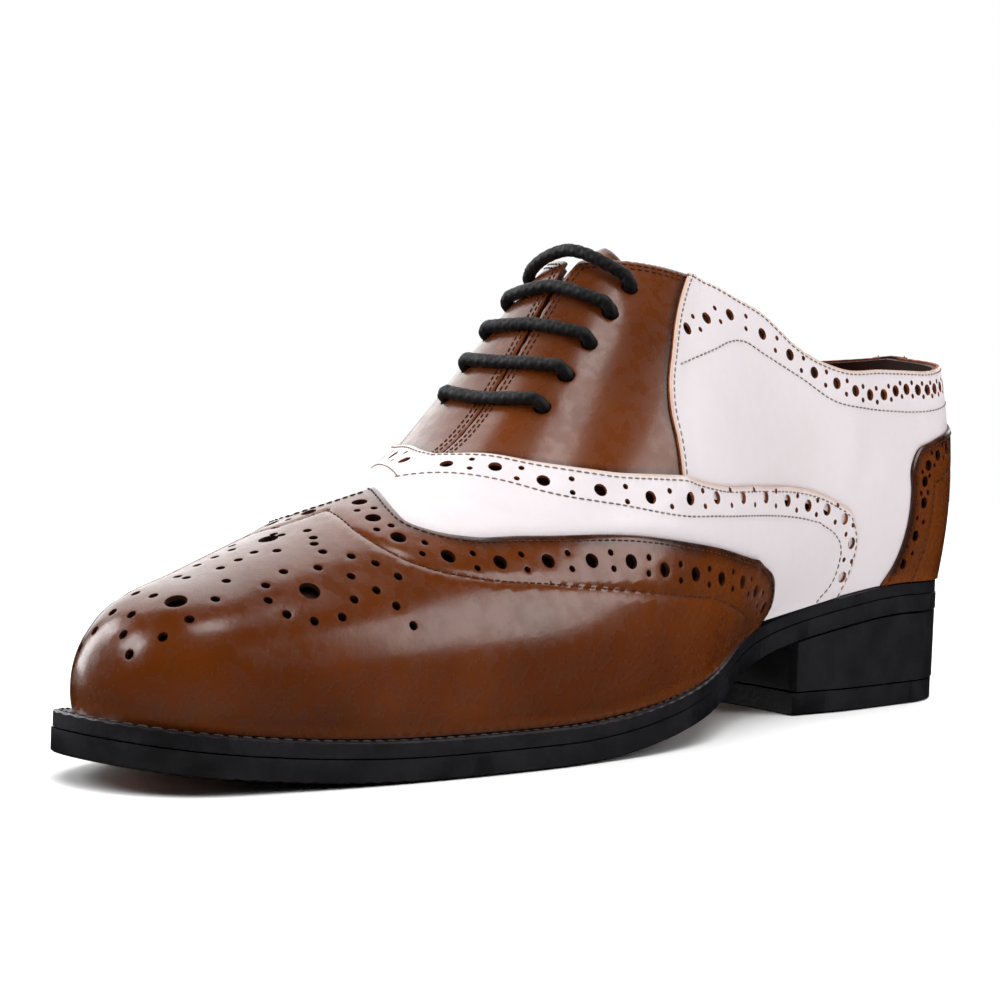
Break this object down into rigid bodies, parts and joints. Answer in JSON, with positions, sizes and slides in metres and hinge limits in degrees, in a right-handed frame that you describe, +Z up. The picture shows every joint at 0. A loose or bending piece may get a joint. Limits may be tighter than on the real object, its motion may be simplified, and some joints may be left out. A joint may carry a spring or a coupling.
{
  "type": "wingtip shoe",
  "caption": "Two-tone full-brogue wingtip Oxford for the right foot: wing cap, swan-neck vamp, closed five-bar lacing, leather sole and stacked heel.",
  "frame": {"origin": "middle of the bottom of the shoe's box, on the floor it stands on", "axes": "toe towards -Y, heel towards +Y, inner (medial) side of the right foot towards +X, +Z up"},
  "size_m": [0.1022, 0.3132, 0.1291],
  "materials": {
    "tan_leather": "burnished calf, polished, darker at the edges",
    "white_leather": "smooth calf, satin",
    "lining_leather": "matt lining leather",
    "black_edge": "waxed and polished sole edge and heel",
    "sole_leather": "burnished sole leather, black towards its edge",
    "black_rubber": "matt",
    "black_lace": "waxed round cord"
  },
  "bodies": {
    "root": {"outsole": "sole_leather", "welt": "black_edge", "heel_stack": "black_edge", "heel_top_front": "sole_leather", "heel_top_rear": "black_rubber", "insole": "lining_leather", "upper": "white_leather", "vamp": "white_leather", "wing_cap": "tan_leather", "facing_medial": "tan_leather", "facing_lateral": "tan_leather", "counter": "tan_leather", "tongue": "tan_leather", "lace_bar_1": "black_lace", "lace_bar_2": "black_lace", "lace_bar_3": "black_lace", "lace_bar_4": "black_lace", "lace_bar_5": "black_lace"}
  },
  "joints": []
}
